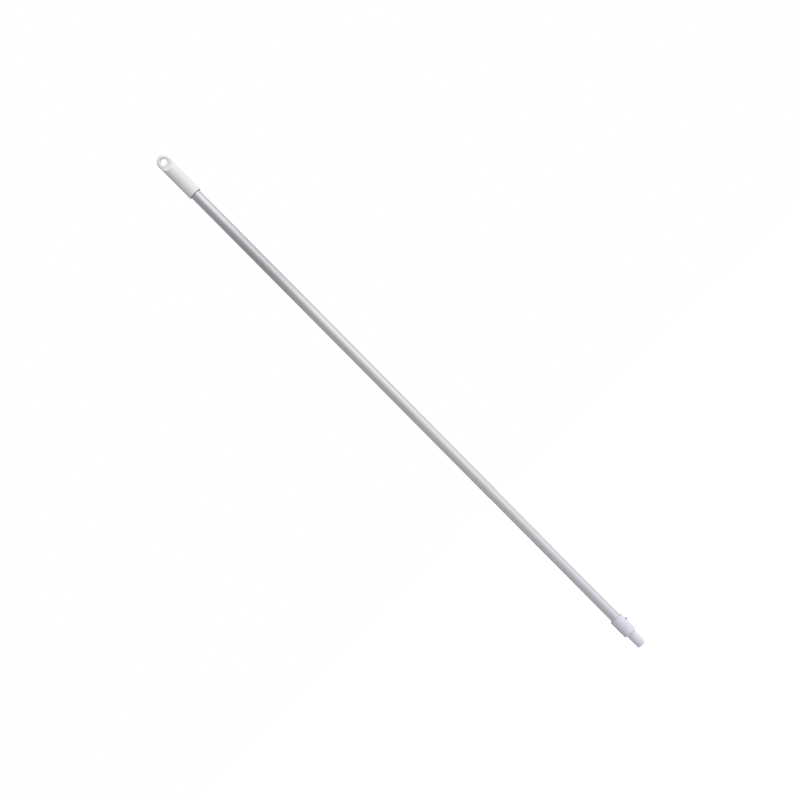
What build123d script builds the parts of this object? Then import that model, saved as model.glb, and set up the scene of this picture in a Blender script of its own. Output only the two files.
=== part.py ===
import os
from math import radians, sqrt, tan

from build123d import *

# A light aluminium tool pole: a moulded hand grip with a hanging eye at the top, a plain drawn tube, and at
# the bottom a moulded end fitting whose spigot takes a tool. A snap button holds the fitting on the tube.
#
# The pole stands along +Z. The origin is the centre of the fitting's shoulder, where a tool's socket comes
# to rest, so the spigot is below it and all the rest above. The flats of the grip's tongue face -Y and +Y,
# and the snap button is on the +X side.

# Driving dimensions, in millimetres and degrees.
overall_length = 1371.6  # 54 inches
tube_diameter = 22
tube_wall = 1.2
push_gap = 0.05  # radial gap between the tube and the mouldings pushed over it

grip_diameter = 28
grip_length = 103.6
grip_end_solid = 36  # from the tip down to the end of the tube's bore
grip_rim_rounding = 1.2
tongue_thickness = 12
tongue_flat_length = 26.5  # from the tip to where each flat starts to run out
tongue_rounding = 2.2
run_out_angle = 45  # of the slope that ends each flat, measured from the pole's axis
run_out_rounding = 3
eye_diameter = 14

collar_diameter = 28.8
collar_length = 41
collar_top_rounding = 1.4
shoulder_rounding = 0.8
mouth_chamfer = 0.5  # of the two bores that the tube is pushed into
socket_floor = 4  # height of the tube's lower end above the shoulder
spigot_length = 33.5
spigot_diameter = 20.3
spigot_end_diameter = 19.3
spigot_straight_length = 16  # of the part of the spigot next to the shoulder, before its taper
spigot_chamfer = 1.5
core_diameter = 12.5  # of the hollow that keeps the moulded spigot's wall even
core_depth = 31
core_rounding = 1.5
dimple_count = 4
dimple_diameter = 4.8
dimple_depth = 1
dimple_below_shoulder = 22.4

button_diameter = 6
button_height = 26.6
button_stand_out = 2.2  # of the dome beyond the collar's surface
button_dome = 2.2
button_gap = 0.1  # radial gap round the button in the tube, and half of it in the collar
dish_radius = 16  # of the spherical thumb dish round the button
dish_depth = 1.8

leaf_thickness = 0.8
leaf_width = 7.8
leaf_foot = 12  # height of the spring's open ends
leaf_knee = 38  # height where each leg starts to lean inwards
leaf_bend = 74  # height of the spring's closed end
leaf_half_bend = 2  # half the width of the closed end
leaf_toe = 1.2  # by which each open end is turned in, so that the legs slide into the tube
shank_diameter = 3.4
tail_diameter = 5  # of the shank's staked end, under the spring
tail_thickness = 0.7
leaf_gap = 0.05  # between the spring and what it bears on

rivet_diameter = 3.2
rivet_head_diameter = 6
rivet_bulb_diameter = 5
rivet_bulb_length = 3
mandrel_diameter = 1.8
mandrel_depth = 2.5
rivet_above_rim = 20
rivet_gap = 0.05

# Sizes that follow from them.
tube_radius = tube_diameter / 2
tube_bore_radius = tube_radius - tube_wall
socket_radius = tube_radius + push_gap
grip_radius = grip_diameter / 2
half_tongue = tongue_thickness / 2
collar_radius = collar_diameter / 2
spigot_radius = spigot_diameter / 2
spigot_end_radius = spigot_end_diameter / 2
button_radius = button_diameter / 2
shank_radius = shank_diameter / 2
rivet_radius = rivet_diameter / 2
rivet_head_radius = rivet_head_diameter / 2
grip_top = overall_length - spigot_length
grip_rim = grip_top - grip_length
grip_bore_end = grip_top - grip_end_solid
tube_top = grip_bore_end - 1
eye_height = grip_top - grip_radius
rivet_height = grip_rim + rivet_above_rim

# Sections through the button and the rivet, whose own X runs out of the pole along their axes.
button_section = Plane(origin=(0, 0, button_height), x_dir=(1, 0, 0), z_dir=(0, -1, 0))
button_axis = Axis((0, 0, button_height), (1, 0, 0))
rivet_section = Plane(origin=(0, 0, rivet_height), x_dir=(0, 1, 0), z_dir=(1, 0, 0))
rivet_axis = Axis((0, 0, rivet_height), (0, 1, 0))

# Planes square to those axes, for the holes.
button_plane = Plane(origin=(0, 0, button_height), x_dir=(0, 1, 0), z_dir=(1, 0, 0))
rivet_plane = Plane(origin=(0, 0, rivet_height), x_dir=(1, 0, 0), z_dir=(0, 1, 0))


def circles_of(part, radius, height):
    """The part's level circular edges of this radius at this height."""
    level = part.edges().filter_by(GeomType.CIRCLE).filter_by_position(Axis.Z, height - 0.01, height + 0.01)
    return level.filter_by(lambda edge: abs(edge.radius - radius) < 0.01)


# Hand grip: a capsule bored for the tube, with a flat on each side of its round end and an eye through them.
flat_height = grip_top - tongue_flat_length
cut_reach = grip_radius + 2
run_out_foot = flat_height - (cut_reach - half_tongue) / tan(radians(run_out_angle))

with BuildPart() as hand_grip:
    with BuildSketch(Plane.XZ):
        with BuildLine():
            Polyline((0, grip_top), (0, grip_rim), (grip_radius, grip_rim), (grip_radius, eye_height))
            CenterArc((0, eye_height), grip_radius, 0, 90)
        make_face()
    revolve(axis=Axis.Z)

    with BuildSketch(Plane.YZ):
        with BuildLine():
            Polyline((cut_reach, run_out_foot), (cut_reach, grip_top + 1), (half_tongue, grip_top + 1))
            FilletPolyline(
                (half_tongue, grip_top + 1),
                (half_tongue, flat_height),
                (cut_reach, run_out_foot),
                radius=run_out_rounding,
            )
        make_face()
        mirror(about=Plane.YZ)
    extrude(amount=cut_reach, both=True, mode=Mode.SUBTRACT)

    # Each run-out meets the round outside in an ellipse, and the rounding runs on from it all along the rim.
    run_out_edges = hand_grip.edges().filter_by(GeomType.ELLIPSE).sort_by(Axis.Y)
    fillet(run_out_edges, radius=tongue_rounding)

    with BuildSketch(Plane.XZ):
        with Locations((0, eye_height)):
            Circle(eye_diameter / 2)
    extrude(amount=grip_radius, both=True, mode=Mode.SUBTRACT)
    fillet(hand_grip.edges(Select.LAST).filter_by(GeomType.CIRCLE), radius=tongue_rounding)

    with BuildSketch(Plane.XY.offset(grip_rim)):
        Circle(socket_radius)
    extrude(amount=grip_bore_end - grip_rim, mode=Mode.SUBTRACT)
    fillet(circles_of(hand_grip, grip_radius, grip_rim), radius=grip_rim_rounding)
    chamfer(circles_of(hand_grip, socket_radius, grip_rim), length=mouth_chamfer)

    # Countersunk hole at the back for the rivet, whose flat head lies just under the round surface.
    rivet_head_face = sqrt(grip_radius**2 - rivet_head_radius**2) - rivet_gap
    with Locations(rivet_plane.offset(grip_radius)):
        CounterSinkHole(
            radius=rivet_radius + rivet_gap,
            counter_sink_radius=rivet_head_radius + rivet_gap + grip_radius - rivet_head_face,
            depth=grip_radius - tube_bore_radius,
            counter_sink_angle=90,
        )

# Shaft tube: drawn aluminium, cut square and deburred, with one hole for the button and one for the rivet.
with BuildPart() as shaft_tube:
    with BuildSketch(Plane.XY.offset(socket_floor)):
        Circle(tube_radius)
        Circle(tube_bore_radius, mode=Mode.SUBTRACT)
    extrude(amount=tube_top - socket_floor)
    chamfer(shaft_tube.edges().filter_by(GeomType.CIRCLE), length=tube_wall / 4)
    with Locations(button_plane.offset(tube_radius)):
        Hole(radius=button_radius + button_gap, depth=tube_radius)
    with Locations(rivet_plane.offset(tube_radius)):
        Hole(radius=rivet_radius + rivet_gap, depth=tube_radius)

# Grip rivet: a countersunk blind rivet along +Y, with the mark that its snapped mandrel leaves in the head.
rivet_neck = rivet_head_face - (rivet_head_radius - rivet_radius)
bulb_face = sqrt(tube_bore_radius**2 - (rivet_bulb_diameter / 2) ** 2) - rivet_gap

with BuildPart() as grip_rivet:
    with BuildSketch(rivet_section):
        with BuildLine():
            Polyline(
                (bulb_face - rivet_bulb_length, 0),
                (bulb_face - rivet_bulb_length, rivet_bulb_diameter / 2),
                (bulb_face, rivet_bulb_diameter / 2),
                (bulb_face, rivet_radius),
                (rivet_neck, rivet_radius),
                (rivet_head_face, rivet_head_radius),
                (rivet_head_face, mandrel_diameter / 2),
                (rivet_head_face - mandrel_depth, mandrel_diameter / 2),
                (rivet_head_face - mandrel_depth, 0),
                close=True,
            )
        make_face()
    revolve(axis=rivet_axis)

# End fitting: a collar over the tube, a square shoulder for the tool and a cored spigot with a tapered end.
with BuildPart() as end_fitting:
    with BuildSketch(Plane.XZ):
        with BuildLine():
            Polyline(
                (0, -spigot_length),
                (spigot_end_radius - spigot_chamfer, -spigot_length),
                (spigot_end_radius, spigot_chamfer - spigot_length),
                (spigot_radius, -spigot_straight_length),
                (spigot_radius, 0),
                (collar_radius, 0),
                (collar_radius, collar_length),
                (0, collar_length),
                close=True,
            )
        make_face()
    revolve(axis=Axis.Z)

    with BuildSketch(Plane.XY.offset(socket_floor)):
        Circle(socket_radius)
    extrude(amount=collar_length - socket_floor, mode=Mode.SUBTRACT)
    with BuildSketch(Plane.XY.offset(-spigot_length)):
        Circle(core_diameter / 2)
    extrude(amount=core_depth, mode=Mode.SUBTRACT)

    fillet(circles_of(end_fitting, collar_radius, collar_length), radius=collar_top_rounding)
    fillet(circles_of(end_fitting, collar_radius, 0), radius=shoulder_rounding)
    fillet(circles_of(end_fitting, core_diameter / 2, core_depth - spigot_length), radius=core_rounding)
    chamfer(circles_of(end_fitting, socket_radius, collar_length), length=mouth_chamfer)

    # Thumb dish and button hole.
    with Locations((collar_radius + dish_radius - dish_depth, 0, button_height)):
        Sphere(dish_radius, mode=Mode.SUBTRACT)
    with Locations(button_plane.offset(collar_radius)):
        Hole(radius=button_radius + 1.5 * button_gap, depth=collar_radius)

    # Detent dimples round the tapered end of the spigot.
    dimple_radius = ((dimple_diameter / 2) ** 2 + dimple_depth**2) / (2 * dimple_depth)
    with Locations(Plane.XY.offset(-dimple_below_shoulder)):
        with PolarLocations(spigot_radius + dimple_radius - dimple_depth, dimple_count):
            Sphere(dimple_radius, mode=Mode.SUBTRACT)

# Spring clip: a V of leaf spring, closed end up, whose +X leg carries the button and bears on the tube's bore.
leaf_face = sqrt(tube_bore_radius**2 - (leaf_width / 2) ** 2) - leaf_gap
leg = leaf_face - leaf_thickness / 2

with BuildPart() as spring_clip:
    with BuildSketch(Plane.XZ):
        with BuildLine():
            FilletPolyline(
                (leg - leaf_toe, leaf_foot),
                (leg, leaf_foot + 3 * leaf_toe),
                (leg, leaf_knee),
                (leaf_half_bend, leaf_bend),
                (-leaf_half_bend, leaf_bend),
                (-leg, leaf_knee),
                (-leg, leaf_foot + 3 * leaf_toe),
                (leaf_toe - leg, leaf_foot),
                radius=leaf_half_bend,
            )
        trace(line_width=leaf_thickness)
    extrude(amount=leaf_width / 2, both=True)
    with Locations(button_plane.offset(tube_radius)):
        Hole(radius=shank_radius + leaf_gap, depth=tube_radius)

# Snap button: a domed pin that stands on the spring's leg, with a thinner shank staked through it.
button_top = collar_radius + button_stand_out
button_foot = leaf_face + leaf_gap
tail_face = leaf_face - leaf_thickness - leaf_gap

with BuildPart() as snap_button:
    with BuildSketch(button_section):
        with BuildLine():
            EllipticalCenterArc((button_top - button_dome, 0), button_dome, button_radius, arc_size=90)
            Polyline(
                (button_top - button_dome, button_radius),
                (button_foot, button_radius),
                (button_foot, shank_radius),
                (tail_face, shank_radius),
                (tail_face, tail_diameter / 2),
                (tail_face - tail_thickness, tail_diameter / 2),
                (tail_face - tail_thickness, 0),
                (button_top, 0),
            )
        make_face()
    revolve(axis=button_axis)

# Labels and files, one STEP for each piece.
os.makedirs("parts", exist_ok=True)

hand_grip.part.label = "hand_grip"
export_step(hand_grip.part, "parts/hand_grip.step")

grip_rivet.part.label = "grip_rivet"
export_step(grip_rivet.part, "parts/grip_rivet.step")

shaft_tube.part.label = "shaft_tube"
export_step(shaft_tube.part, "parts/shaft_tube.step")

end_fitting.part.label = "end_fitting"
export_step(end_fitting.part, "parts/end_fitting.step")

spring_clip.part.label = "spring_clip"
export_step(spring_clip.part, "parts/spring_clip.step")

snap_button.part.label = "snap_button"
export_step(snap_button.part, "parts/snap_button.step")
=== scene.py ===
from math import cos, pi, radians, sin, tan

import bmesh
import bpy
from mathutils import Matrix, Vector


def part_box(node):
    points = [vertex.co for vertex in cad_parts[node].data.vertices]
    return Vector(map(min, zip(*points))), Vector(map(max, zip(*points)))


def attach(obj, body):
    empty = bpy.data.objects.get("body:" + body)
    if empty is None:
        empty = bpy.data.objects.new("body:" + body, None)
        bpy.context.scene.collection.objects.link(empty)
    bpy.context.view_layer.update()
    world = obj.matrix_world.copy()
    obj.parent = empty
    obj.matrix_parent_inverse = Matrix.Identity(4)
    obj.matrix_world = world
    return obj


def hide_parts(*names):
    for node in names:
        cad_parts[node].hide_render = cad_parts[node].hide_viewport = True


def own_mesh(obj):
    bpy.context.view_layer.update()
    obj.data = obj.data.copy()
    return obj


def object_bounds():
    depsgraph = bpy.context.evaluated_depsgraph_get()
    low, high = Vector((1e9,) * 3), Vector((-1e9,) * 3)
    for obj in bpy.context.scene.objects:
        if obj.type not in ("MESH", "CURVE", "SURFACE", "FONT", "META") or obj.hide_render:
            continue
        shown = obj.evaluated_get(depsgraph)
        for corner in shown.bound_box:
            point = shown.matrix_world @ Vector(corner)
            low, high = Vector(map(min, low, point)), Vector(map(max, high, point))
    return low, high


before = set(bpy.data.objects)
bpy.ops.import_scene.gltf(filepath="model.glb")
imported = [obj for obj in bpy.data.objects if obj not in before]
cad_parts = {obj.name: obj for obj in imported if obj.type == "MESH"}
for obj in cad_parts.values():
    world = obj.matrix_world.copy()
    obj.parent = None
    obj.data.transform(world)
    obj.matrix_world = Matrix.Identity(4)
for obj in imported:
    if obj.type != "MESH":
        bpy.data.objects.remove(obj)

# An aluminium tool pole, standing along +Z: a moulded grip with a hanging eye at the top, a drawn tube, and
# a moulded end fitting with a snap button at the bottom. Everything is in metres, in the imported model's
# frame. The two mouldings keep their CAD meshes. Finer pieces replace the tube, spring, button and rivet.

cad_low, cad_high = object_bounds()
scene = bpy.context.scene
mm = 0.001

# Dimensions repeated from the CAD model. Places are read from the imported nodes, and the small details that
# only these finer pieces have are named with their piece.
tube_wall = 1.2 * mm
tube_hole_for_button = 3.1 * mm
tube_hole_for_rivet = 1.65 * mm
leaf_thickness = 0.8 * mm
leaf_knee = 38 * mm
leaf_half_bend = 2 * mm
leaf_toe = 1.2 * mm
dome_height = 2.2 * mm
shank_radius = 1.7 * mm
tail_thickness = 0.7 * mm
tail_radius = 2.5 * mm
fit_gap = 0.05 * mm
rivet_radius = 1.6 * mm
rivet_bulb_length = 3 * mm
rivet_bulb_radius = 2.5 * mm
mandrel_radius = 0.9 * mm
mandrel_depth = 2.5 * mm


# ---- Camera ----

# Aimed at the pole's middle, to within about 2 mm, square to its front, and rolled so that the pole lies
# along the picture's diagonal with the grip at the upper left.
camera_roll = radians(44.75)
camera_distance = 3.776
camera_aim = Vector((0.7 * mm, 0, (cad_low.z + cad_high.z) / 2 + 1.9 * mm))

right = Vector((cos(camera_roll), 0, -sin(camera_roll)))
up = Vector((sin(camera_roll), 0, cos(camera_roll)))
backward = Vector((0, -1, 0))
camera = bpy.data.objects.new("camera", bpy.data.cameras.new("camera"))
camera.data.lens = 85
camera.data.sensor_width = 36
turn = Matrix((right, up, backward)).transposed().to_4x4()
camera.matrix_world = Matrix.Translation(camera_aim + camera_distance * backward) @ turn
scene.collection.objects.link(camera)
scene.camera = camera
scene.view_settings.view_transform = "Standard"


# ---- Node trees ----


def add_node(tree, kind, inputs, **settings):
    """Adds a node with these settings. Each input is set to a value or linked to another node's output."""
    node = tree.nodes.new("ShaderNode" + kind)
    for name, value in settings.items():
        setattr(node, name, value)
    for name, value in inputs.items():
        if isinstance(value, bpy.types.NodeSocket):
            tree.links.new(value, node.inputs[name])
        else:
            node.inputs[name].default_value = value
    return node


def calculate(tree, operation, *values):
    """The output of a Math node."""
    return add_node(tree, "Math", dict(enumerate(values)), operation=operation).outputs["Value"]


def map_range(tree, value, from_min, from_max, to_min, to_max):
    """The output of a Map Range node."""
    ends = {"From Min": from_min, "From Max": from_max, "To Min": to_min, "To Max": to_max}
    return add_node(tree, "MapRange", {"Value": value, **ends}).outputs["Result"]


def colour_ramp(tree, factor, stops):
    """The output of a Color Ramp with these (position, colour) stops."""
    node = add_node(tree, "ValToRGB", {"Fac": factor})
    elements = node.color_ramp.elements
    while len(elements) < len(stops):
        elements.new(0.5)
    for element, (position, colour) in zip(elements, stops):
        element.position = position
        element.color = (*colour, 1)
    return node.outputs["Color"]


def noise(tree, position, scale, detail):
    """The output of a Noise Texture with this many features to the metre. Most of it is from 0.3 to 0.7."""
    inputs = {"Vector": position, "Scale": scale, "Detail": detail}
    return add_node(tree, "TexNoise", inputs).outputs["Fac"]


# ---- Studio ----

# Soft light from all round. From below, a white floor sends it back the same on every side. From above, it
# comes from a broad panel on the button's side and fades with the angle away from that panel, until only a
# dim ceiling is left on the far side. Azimuth 0 is the camera's side and 90 degrees is +X.
floor_light = 0.7
ceiling_light = 0.1
panel_light = 1.0
panel_azimuth = radians(70)
panel_sharpness = 2.5

# A soft lamp high up in front of the pole, on the button's side.
key_direction = Vector((0.5, -0.5, 0.7)).normalized()
key_strength = 3
key_sharpness = 14

world = bpy.data.worlds.new("studio")
scene.world = world
world.use_nodes = True
tree = world.node_tree
tree.nodes.clear()
direction = add_node(tree, "TexCoord", {}).outputs["Generated"]
part = add_node(tree, "SeparateXYZ", {"Vector": direction}).outputs
azimuth = calculate(tree, "ARCTAN2", part["X"], calculate(tree, "MULTIPLY", part["Y"], -1))
toward_panel = calculate(tree, "COSINE", calculate(tree, "SUBTRACT", azimuth, panel_azimuth))
panel_share = calculate(tree, "POWER", map_range(tree, toward_panel, -1, 1, 0, 1), panel_sharpness)
above = calculate(tree, "MULTIPLY_ADD", panel_share, panel_light, ceiling_light)
soft = map_range(tree, part["Z"], -1, 1, floor_light, above)
toward_key = add_node(tree, "VectorMath", {0: direction, 1: key_direction}, operation="DOT_PRODUCT")
key = calculate(tree, "POWER", calculate(tree, "MAXIMUM", toward_key.outputs["Value"], 0), key_sharpness)
key = calculate(tree, "MULTIPLY", key, key_strength)
total = calculate(tree, "ADD", soft, key)
lighting = add_node(tree, "Background", {"Color": total})
backdrop = add_node(tree, "Background", {"Color": (1, 1, 1, 1)})
camera_ray = add_node(tree, "LightPath", {}).outputs["Is Camera Ray"]
shown = add_node(tree, "MixShader", {0: camera_ray, 1: lighting.outputs[0], 2: backdrop.outputs[0]})
add_node(tree, "OutputWorld", {"Surface": shown.outputs[0]})

# A plain pale floor under the spigot. It throws no light back on the pole, because the soft light already
# comes from below as well.
floor_radius = 6
floor_sides = 96
floor_gap = 0.2 * mm
floor_mesh = bpy.data.meshes.new("floor")
turns = [2 * pi * i / floor_sides for i in range(floor_sides)]
floor_rim = [(floor_radius * cos(a), floor_radius * sin(a), 0) for a in turns]
floor_mesh.from_pydata(floor_rim, [], [range(floor_sides)])
floor = bpy.data.objects.new("floor", floor_mesh)
floor.location.z = cad_low.z - floor_gap
floor.visible_diffuse = False
floor.visible_glossy = False
scene.collection.objects.link(floor)

floor_finish = bpy.data.materials.new("floor")
floor_finish.use_nodes = True
floor_paint = floor_finish.node_tree.nodes["Principled BSDF"]
floor_paint.inputs["Base Color"].default_value = (0.9, 0.9, 0.9, 1)
floor_paint.inputs["Roughness"].default_value = 0.9
floor_paint.inputs["Emission Color"].default_value = (1, 1, 1, 1)
floor_paint.inputs["Emission Strength"].default_value = 0.7
floor_mesh.materials.append(floor_finish)


# ---- Finishes ----


def new_finish(name, **constants):
    """A new material with these constant shader values, its node tree, its shader and the shaded point."""
    finish = bpy.data.materials.new(name)
    finish.use_nodes = True
    tree = finish.node_tree
    shader = tree.nodes["Principled BSDF"]
    for socket, value in constants.items():
        shader.inputs[socket.replace("_", " ")].default_value = value
    position = add_node(tree, "TexCoord", {}).outputs["Object"]
    return finish, tree, shader, position


def shade(tree, shader, colour, roughness, height, depth):
    """Links colour, roughness and a bump of this depth in metres to the shader."""
    bump = add_node(tree, "Bump", {"Height": height, "Distance": depth})
    tree.links.new(colour, shader.inputs["Base Color"])
    tree.links.new(roughness, shader.inputs["Roughness"])
    tree.links.new(bump.outputs["Normal"], shader.inputs["Normal"])


def edge_mask(tree, radius):
    """1 on edges rounded or folded more tightly than the radius, and 0 on open surface."""
    bevel = add_node(tree, "Bevel", {"Radius": radius}, samples=6).outputs["Normal"]
    normal = add_node(tree, "NewGeometry", {}).outputs["Normal"]
    alike = add_node(tree, "VectorMath", {0: bevel, 1: normal}, operation="DOT_PRODUCT").outputs["Value"]
    return map_range(tree, alike, 0.90, 1, 1, 0)


def mix(tree, factor, first, second):
    """The output of a colour mix."""
    return add_node(tree, "MixRGB", {"Fac": factor, "Color1": first, "Color2": second}).outputs["Color"]


# Painted shade: a dark grey laid on the plastic next to its seam with the tube, for the shade at the rim.
seam_shade_colour = (0.12, 0.12, 0.125, 1)
seam_shade_reach = 1.6 * mm
worn_edge_radius = 0.6 * mm
plastic_grain_depth = 0.06 * mm


def moulded_plastic(name, colour, seam, seam_shade_strength):
    """Satin moulded plastic: slightly cloudy, with a fine spark grain that is rubbed smoother on the edges,
    and darkened near the height of the seam with the tube by painted shade for the shade at the rim."""
    finish, tree, shader, position = new_finish(name, Specular_IOR_Level=0.3)
    cloud = noise(tree, position, scale=40, detail=3)
    grain = noise(tree, position, scale=1800, detail=2)
    scuffs = noise(tree, position, scale=350, detail=5)
    edge = edge_mask(tree, worn_edge_radius)
    dim = tuple(0.955 * c for c in colour)
    rubbed = tuple(0.5 + 0.5 * c for c in colour)
    tone = colour_ramp(tree, cloud, [(0.3, dim), (0.7, colour)])
    tone = mix(tree, calculate(tree, "MULTIPLY", edge, 0.25), tone, (*rubbed, 1))
    # Painted shade: darkens the plastic within a short reach of the seam's height, where the rim lies in
    # shade.
    height = add_node(tree, "SeparateXYZ", {"Vector": position}).outputs["Z"]
    from_seam = calculate(tree, "ABSOLUTE", calculate(tree, "SUBTRACT", height, seam))
    near_seam = map_range(tree, from_seam, 0, seam_shade_reach, 1, 0)
    seam_shade = calculate(tree, "MULTIPLY", near_seam, map_range(tree, grain, 0.3, 0.6, 0.8, 1))
    tone = mix(tree, calculate(tree, "MULTIPLY", seam_shade, seam_shade_strength), tone, seam_shade_colour)
    grain_rough = map_range(tree, grain, 0.3, 0.7, 0.42, 0.52)
    scuff_rough = map_range(tree, scuffs, 0.45, 0.7, 0, 0.12)
    edge_polish = calculate(tree, "MULTIPLY", edge, 0.1)
    rough = calculate(tree, "SUBTRACT", calculate(tree, "ADD", grain_rough, scuff_rough), edge_polish)
    shade(tree, shader, tone, rough, grain, plastic_grain_depth)
    return finish


def drawn_metal(name, tones, roughness, spread, length, depth):
    """Metal with fine lines along Z. The tones are (height, colour) pairs up the piece, and length is how
    many times longer than wide the lines are."""
    finish, tree, shader, position = new_finish(name, Metallic=1)
    stretched = add_node(tree, "VectorMath", {0: position, 1: (1, 1, 1 / length)}, operation="MULTIPLY")
    lines = noise(tree, stretched.outputs["Vector"], scale=2600, detail=4)
    bands = noise(tree, stretched.outputs["Vector"], scale=420, detail=2)
    height = add_node(tree, "SeparateXYZ", {"Vector": position}).outputs["Z"]
    first, last = tones[0][0], tones[-1][0]
    share = map_range(tree, height, first, last, 0, 1)
    tone = colour_ramp(tree, share, [((z - first) / (last - first), colour) for z, colour in tones])
    fine_streak = map_range(tree, lines, 0.3, 0.7, 0.94, 1)
    broad_streak = map_range(tree, bands, 0.3, 0.7, -0.02, 0.02)
    streak = calculate(tree, "ADD", fine_streak, broad_streak)
    tone = add_node(tree, "VectorMath", {0: tone, 1: streak}, operation="MULTIPLY").outputs["Vector"]
    rough = map_range(tree, lines, 0.3, 0.7, roughness - spread, roughness + spread)
    shade(tree, shader, tone, rough, lines, depth)
    return finish


turning_mark_depth = 0.004 * mm


def turned_metal(name, colour, roughness, centre, axis):
    """Metal with fine turning marks round an axis, and a few scuffs."""
    finish, tree, shader, position = new_finish(name, Metallic=1)
    offset = add_node(tree, "VectorMath", {0: position, 1: centre}, operation="SUBTRACT").outputs["Vector"]
    along = add_node(tree, "VectorMath", {0: offset, 1: axis}, operation="DOT_PRODUCT").outputs["Value"]
    across = add_node(tree, "VectorMath", {0: offset, 1: axis}, operation="CROSS_PRODUCT").outputs["Vector"]
    out = add_node(tree, "VectorMath", {0: across}, operation="LENGTH").outputs["Value"]
    ring = add_node(tree, "CombineXYZ", {"X": along, "Y": out}).outputs["Vector"]
    rings = noise(tree, ring, scale=5000, detail=3)
    scuffs = noise(tree, position, scale=900, detail=5)
    worn = map_range(tree, scuffs, 0.55, 0.7, 0, 1)
    dim = tuple(0.86 * c for c in colour)
    light = tuple(min(1.15 * c, 1) for c in colour)
    tone = colour_ramp(tree, rings, [(0.3, dim), (0.7, colour)])
    tone = mix(tree, calculate(tree, "MULTIPLY", worn, 0.4), tone, (*light, 1))
    ring_rough = map_range(tree, rings, 0.3, 0.7, roughness - 0.05, roughness + 0.05)
    scuff_rough = map_range(tree, scuffs, 0.4, 0.7, 0, 0.06)
    shade(tree, shader, tone, calculate(tree, "ADD", ring_rough, scuff_rough), rings, turning_mark_depth)
    return finish


grip_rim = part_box("hand_grip")[0].z
collar_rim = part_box("end_fitting")[1].z
# The seam strength is painted shade at each moulding's rim by the tube, strongest on the grip.
grip_plastic = moulded_plastic("grip_plastic", (0.865, 0.865, 0.88), grip_rim, seam_shade_strength=0.9)
fitting_plastic = moulded_plastic("fitting_plastic", (0.805, 0.79, 0.88), collar_rim, seam_shade_strength=0.4)

neutral_aluminium = (0.885, 0.885, 0.895)
violet_aluminium = (0.86, 0.855, 0.935)
# Painted shade: a darker tone for a band of the tube that gets less light.
painted_shade_band_aluminium = (0.70, 0.69, 0.73)
# Painted shade: a darker tone for the tube where it runs up to the grip and lies in its shade.
painted_shade_grip_end_aluminium = (0.80, 0.795, 0.84)

# The tube's tone by height, in metres above the shoulder. The darker band from 1.03 to 1.10 m and the darker
# tone by the grip are painted shade, for how the light falls along the tube.
tube_tones = [
    (0.00, violet_aluminium),
    (0.15, violet_aluminium),
    (0.36, neutral_aluminium),
    (0.88, neutral_aluminium),
    (1.03, painted_shade_band_aluminium),
    (1.10, painted_shade_band_aluminium),
    (1.20, painted_shade_grip_end_aluminium),
    (1.30, painted_shade_grip_end_aluminium),
]
tube_aluminium = drawn_metal(
    "tube_aluminium", tube_tones, roughness=0.28, spread=0.05, length=90, depth=0.002 * mm
)
steel = (0.55, 0.55, 0.56)
spring_steel = drawn_metal(
    "spring_steel", [(0, steel), (1, steel)], roughness=0.32, spread=0.06, length=40, depth=0.003 * mm
)


# ---- Mesh tools ----

smooth_below = radians(35)
merge_distance = 0.001 * mm
drill_sides = 96


def rounded(corners, radius, steps=6):
    """The line through these corners with each inner corner replaced by an arc."""
    line = [Vector(corners[0])]
    for before, corner, after in zip(corners, corners[1:], corners[2:]):
        corner = Vector(corner)
        back = (Vector(before) - corner).normalized()
        ahead = (Vector(after) - corner).normalized()
        half_angle = back.angle(ahead) / 2
        reach = radius / tan(half_angle)
        centre = corner + (back + ahead).normalized() * (radius / sin(half_angle))
        first = corner + back * reach - centre
        last = corner + ahead * reach - centre
        line += [centre + radius * first.slerp(last, i / steps) for i in range(steps + 1)]
    return line + [Vector(corners[-1])]


def runs(start, end, count):
    """Evenly spaced values from start to end."""
    return [start + (end - start) * i / count for i in range(count + 1)]


def new_piece(name, bm):
    """An object made from a finished bmesh, with every face turned outward."""
    bmesh.ops.recalc_face_normals(bm, faces=bm.faces)
    mesh = bpy.data.meshes.new(name)
    bm.to_mesh(mesh)
    bm.free()
    piece = bpy.data.objects.new(name, mesh)
    scene.collection.objects.link(piece)
    return piece


def settle(piece):
    """Makes the result of the piece's modifiers its mesh."""
    graph = bpy.context.evaluated_depsgraph_get()
    mesh = bpy.data.meshes.new_from_object(piece.evaluated_get(graph))
    piece.modifiers.clear()
    piece.data = mesh
    mesh.name = piece.name


def smooth(piece):
    """Smooth shading but for sharp edges, with normals weighted by face area to keep flat faces even."""
    piece.data.shade_smooth()
    piece.data.set_sharp_from_angle(angle=smooth_below)
    weighted = piece.modifiers.new("weighted", "WEIGHTED_NORMAL")
    weighted.keep_sharp = True
    settle(piece)


def revolved(name, outline, centre, axis, steps):
    """A solid of revolution. The outline is a line of (along, out) points that starts and ends on the axis,
    or that ends where it starts."""
    side = axis.orthogonal().normalized()
    bm = bmesh.new()
    verts = [bm.verts.new(centre + along * axis + out * side) for along, out in outline]
    edges = [bm.edges.new(pair) for pair in zip(verts, verts[1:])]
    bmesh.ops.spin(bm, geom=verts + edges, cent=centre, axis=axis, angle=2 * pi, steps=steps, use_merge=True)
    bmesh.ops.remove_doubles(bm, verts=bm.verts, dist=merge_distance)
    return new_piece(name, bm)


def drill(piece, centre, axis, radius, length):
    """Cuts a round hole of this length from the centre along the axis."""
    bit_outline = [(0, 0), (0, radius), (length, radius), (length, 0)]
    bit = revolved("bit", bit_outline, centre, axis, drill_sides)
    hole = piece.modifiers.new("hole", "BOOLEAN")
    hole.operation = "DIFFERENCE"
    hole.solver = "EXACT"
    hole.object = bit
    settle(piece)
    bpy.data.objects.remove(bit)


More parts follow.
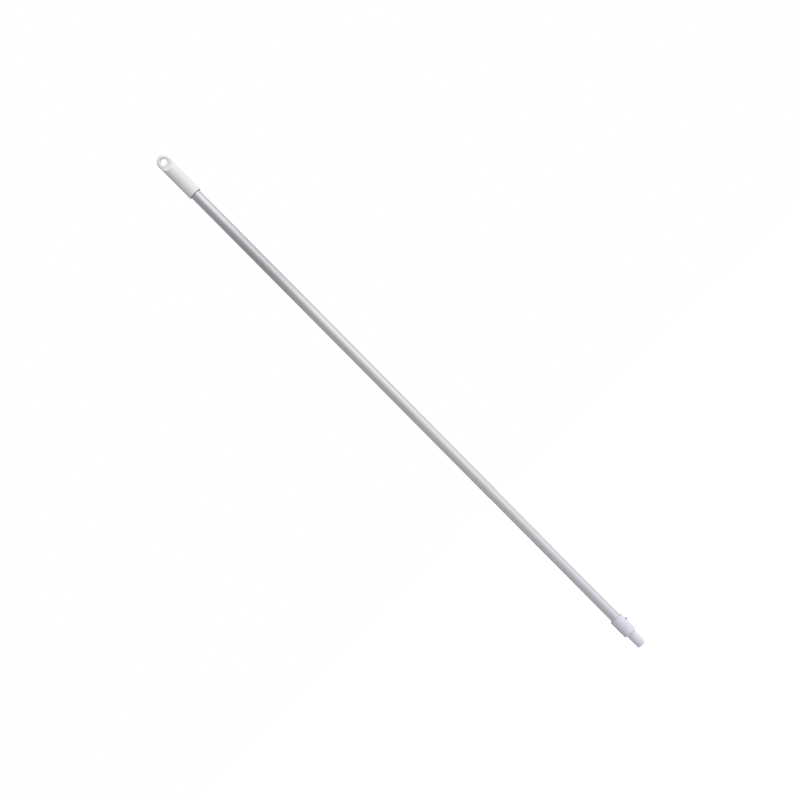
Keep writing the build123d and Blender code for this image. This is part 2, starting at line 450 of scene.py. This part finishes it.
def install(piece, node, body, finish):
    """Puts a finished piece on its body in place of its CAD node."""
    piece.data.materials.clear()
    piece.data.materials.append(finish)
    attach(piece, body)
    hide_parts(node)


# ---- Pieces ----

tube_low, tube_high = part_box("shaft_tube")
spring_low, spring_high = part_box("spring_clip")
button_low, button_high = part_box("snap_button")
rivet_low, rivet_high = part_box("grip_rivet")

along_x = Vector((1, 0, 0))
along_y = Vector((0, 1, 0))
along_z = Vector((0, 0, 1))
button_centre = Vector((0, 0, (button_low.z + button_high.z) / 2))
rivet_centre = Vector((0, 0, (rivet_low.z + rivet_high.z) / 2))

button_steel = turned_metal("button_steel", (0.41, 0.41, 0.42), 0.40, button_centre, along_x)
rivet_aluminium = turned_metal("rivet_aluminium", (0.75, 0.75, 0.77), 0.36, rivet_centre, along_y)

# Tube: both walls in short runs, with deburred ends, and a cross hole for the button and for the rivet.
tube_radius = tube_high.x
tube_bore = tube_radius - tube_wall
burr = tube_wall / 4
tube_runs = 64
wall_outside = [(z, tube_radius) for z in runs(tube_low.z + burr, tube_high.z - burr, tube_runs)]
wall_inside = [(z, tube_bore) for z in runs(tube_high.z - burr, tube_low.z + burr, tube_runs)]
tube_outline = [
    (tube_low.z, tube_radius - burr),
    *wall_outside,
    (tube_high.z, tube_radius - burr),
    (tube_high.z, tube_bore + burr),
    *wall_inside,
    (tube_low.z, tube_bore + burr),
    (tube_low.z, tube_radius - burr),
]
drawn_tube = revolved("drawn_tube", tube_outline, Vector((0, 0, 0)), along_z, steps=144)
drill(drawn_tube, button_centre, along_x, tube_hole_for_button, 2 * tube_radius)
drill(drawn_tube, rivet_centre, along_y, tube_hole_for_rivet, 2 * tube_radius)
smooth(drawn_tube)
install(drawn_tube, "shaft_tube", "pole", tube_aluminium)

# Leaf spring: a V-shaped strip, closed end up, with its edges rolled slightly round.
leaf_edge = 0.12 * mm
leaf_edge_angle = radians(50)
leg = spring_high.x - leaf_thickness / 2
bend_height = spring_high.z - leaf_thickness / 2
half_width = spring_high.y
foot = spring_low.z
right_side = [
    (leg - leaf_toe, foot),
    (leg, foot + 3 * leaf_toe),
    (leg, leaf_knee),
    (leaf_half_bend, bend_height),
]
left_side = [(-x, z) for x, z in reversed(right_side)]
leaf_line = rounded(right_side + left_side, leaf_half_bend, steps=10)

bm = bmesh.new()
rows = []
for i, point in enumerate(leaf_line):
    ahead = (leaf_line[min(i + 1, len(leaf_line) - 1)] - leaf_line[max(i - 1, 0)]).normalized()
    across = Vector((-ahead.y, ahead.x)) * leaf_thickness / 2
    outer, inner = point - across, point + across
    corners = [(outer, -half_width), (outer, half_width), (inner, half_width), (inner, -half_width)]
    rows.append([bm.verts.new((p.x, y, p.y)) for p, y in corners])
for row, after in zip(rows, rows[1:]):
    for i in range(4):
        j = (i + 1) % 4
        bm.faces.new((row[i], row[j], after[j], after[i]))
bm.faces.new(rows[0])
bm.faces.new(rows[-1])
leaf_spring = new_piece("leaf_spring", bm)
drill(leaf_spring, button_centre, along_x, shank_radius + fit_gap, 2 * tube_radius)
rolled = leaf_spring.modifiers.new("rolled", "BEVEL")
rolled.width = leaf_edge
rolled.segments = 3
rolled.limit_method = "ANGLE"
rolled.angle_limit = leaf_edge_angle
smooth(leaf_spring)
install(leaf_spring, "spring_clip", "pole", spring_steel)
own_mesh(leaf_spring)

# Snap button: a domed head with a bevelled foot, a shank, and a tail staked over under the spring, with the
# punch's mark in it.
head_bevel = 0.2 * mm
tail_rounding = 0.3 * mm
mark_radius = 0.9 * mm
mark_floor_radius = 0.5 * mm
mark_depth = 0.25 * mm
button_radius = button_high.z - button_centre.z
dome_foot = button_high.x - dome_height
head_foot = spring_high.x + fit_gap
tail_face = spring_high.x - leaf_thickness - fit_gap
tail_end = tail_face - tail_thickness
dome = [(dome_foot + dome_height * cos(a), button_radius * sin(a)) for a in runs(0, pi / 2, count=20)]
tail_corners = [
    (tail_face, shank_radius),
    (tail_face, tail_radius),
    (tail_end, tail_radius),
    (tail_end, 0),
]
tail = [tuple(point) for point in rounded(tail_corners, tail_rounding)]
button_outline = [
    *dome,
    (head_foot + head_bevel, button_radius),
    (head_foot, button_radius - head_bevel),
    (head_foot, shank_radius),
    *tail[:-1],
    (tail_end, mark_radius),
    (tail_end + mark_depth, mark_floor_radius),
    (tail_end + mark_depth, 0),
]
press_button = revolved("press_button", button_outline, button_centre, along_x, steps=96)
smooth(press_button)
install(press_button, "snap_button", "button", button_steel)

# Blind rivet: a countersunk head with a worn rim, a body, a barrel-shaped bulb behind the tube's wall, and
# the broken end of its mandrel down the middle.
bulb_end_radius = 1.4 * mm
bulb_fullness = 0.6
bulb_turn = 0.9 * pi
rim_bevel = 0.12 * mm
mouth_bevel = 0.15 * mm
break_shoulder_height = 0.1 * mm
break_shoulder_radius = 0.6 * mm
break_tip_height = 0.35 * mm
break_tip_radius = 0.25 * mm
break_height = 0.4 * mm
head_radius = rivet_high.z - rivet_centre.z
head_face = rivet_high.y
neck = head_face - (head_radius - rivet_radius)
bulb_end = rivet_low.y
bulb_face = bulb_end + rivet_bulb_length
bulb_swell = rivet_bulb_radius - bulb_end_radius
mandrel_face = head_face - mandrel_depth / 2  # the break is half way down the mandrel's hole
bulb = [
    (bulb_end + rivet_bulb_length * (1 - cos(a)) / 2, bulb_end_radius + bulb_swell * sin(a) ** bulb_fullness)
    for a in runs(0, bulb_turn, count=14)
]
rivet_outline = [
    (bulb_end, 0),
    *bulb,
    (bulb_face, rivet_radius),
    (neck, rivet_radius),
    (head_face - rim_bevel, head_radius),
    (head_face, head_radius - rim_bevel),
    (head_face, mandrel_radius + mouth_bevel),
    (head_face - mouth_bevel, mandrel_radius),
    (mandrel_face, mandrel_radius),
    (mandrel_face + break_shoulder_height, break_shoulder_radius),
    (mandrel_face + break_tip_height, break_tip_radius),
    (mandrel_face + break_height, 0),
]
blind_rivet = revolved("blind_rivet", rivet_outline, rivet_centre, along_y, steps=72)
smooth(blind_rivet)
install(blind_rivet, "grip_rivet", "pole", rivet_aluminium)

# The two mouldings keep their CAD meshes.
for node, finish in (("hand_grip", grip_plastic), ("end_fitting", fitting_plastic)):
    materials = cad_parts[node].data.materials
    materials.clear()
    materials.append(finish)
